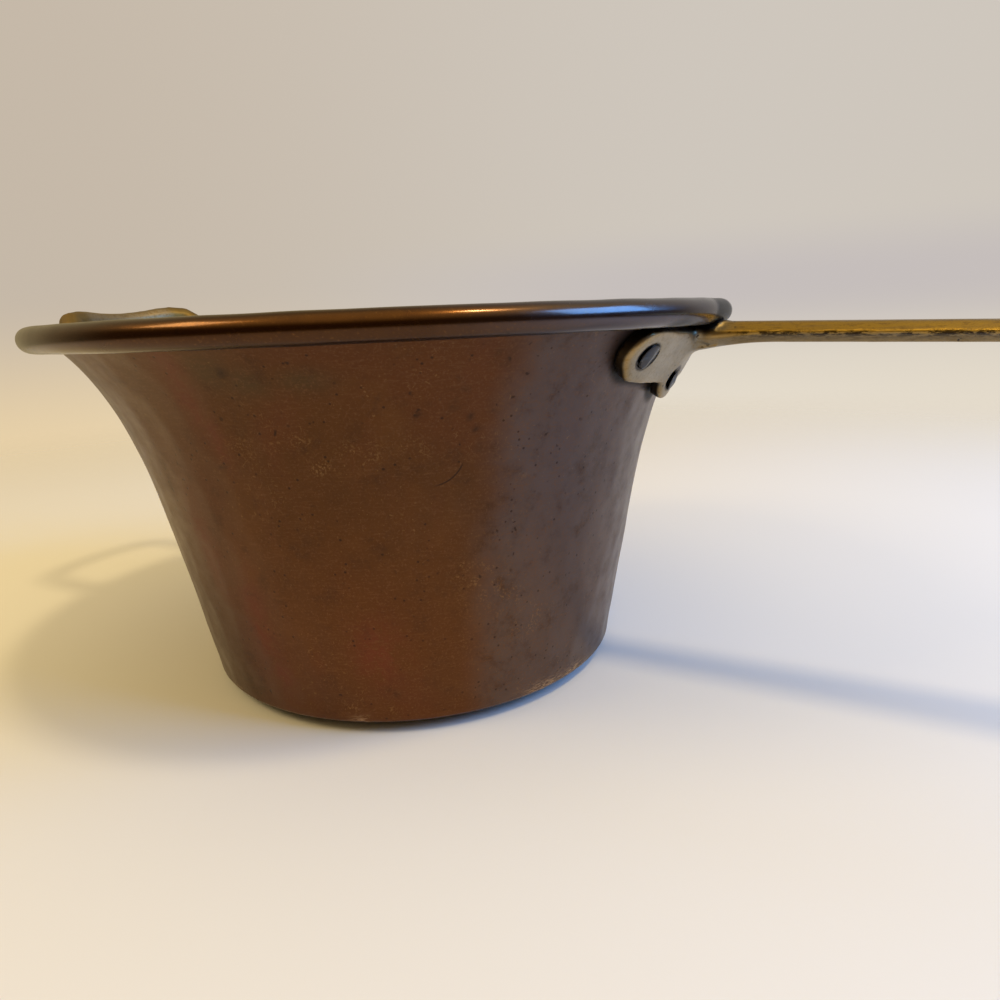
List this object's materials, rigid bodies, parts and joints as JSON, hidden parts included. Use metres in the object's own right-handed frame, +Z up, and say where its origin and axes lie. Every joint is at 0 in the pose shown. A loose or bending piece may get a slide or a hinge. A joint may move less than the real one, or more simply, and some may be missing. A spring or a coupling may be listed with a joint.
{
  "type": "polenta pot",
  "caption": "Round flat-bottomed copper polenta pot with flared walls, a wired rolled rim, a long riveted brass handle with a hanging eye and a brass loop handle opposite it.",
  "frame": {"origin": "middle of the flat underside of the base, where the pot stands", "axes": "+Z up along the axis of the bowl, +X along the long handle, the loop handle at -X"},
  "size_m": [0.4721, 0.2398, 0.1375],
  "materials": {
    "copper": "beaten copper with a dark brown patina",
    "brass": "satin cast brass, worn",
    "rivet_copper": "hammered rivet heads, darkened",
    "iron": "drawn iron wire"
  },
  "bodies": {
    "root": {"bowl": "copper", "rim_wire": "iron", "long_handle": "brass", "helper_handle": "brass", "long_handle_rivet_left": "rivet_copper", "long_handle_rivet_right": "rivet_copper", "long_handle_rivet_lower": "rivet_copper", "helper_rivet_left_outer": "rivet_copper", "helper_rivet_left_inner": "rivet_copper", "helper_rivet_right_inner": "rivet_copper", "helper_rivet_right_outer": "rivet_copper"}
  },
  "joints": []
}
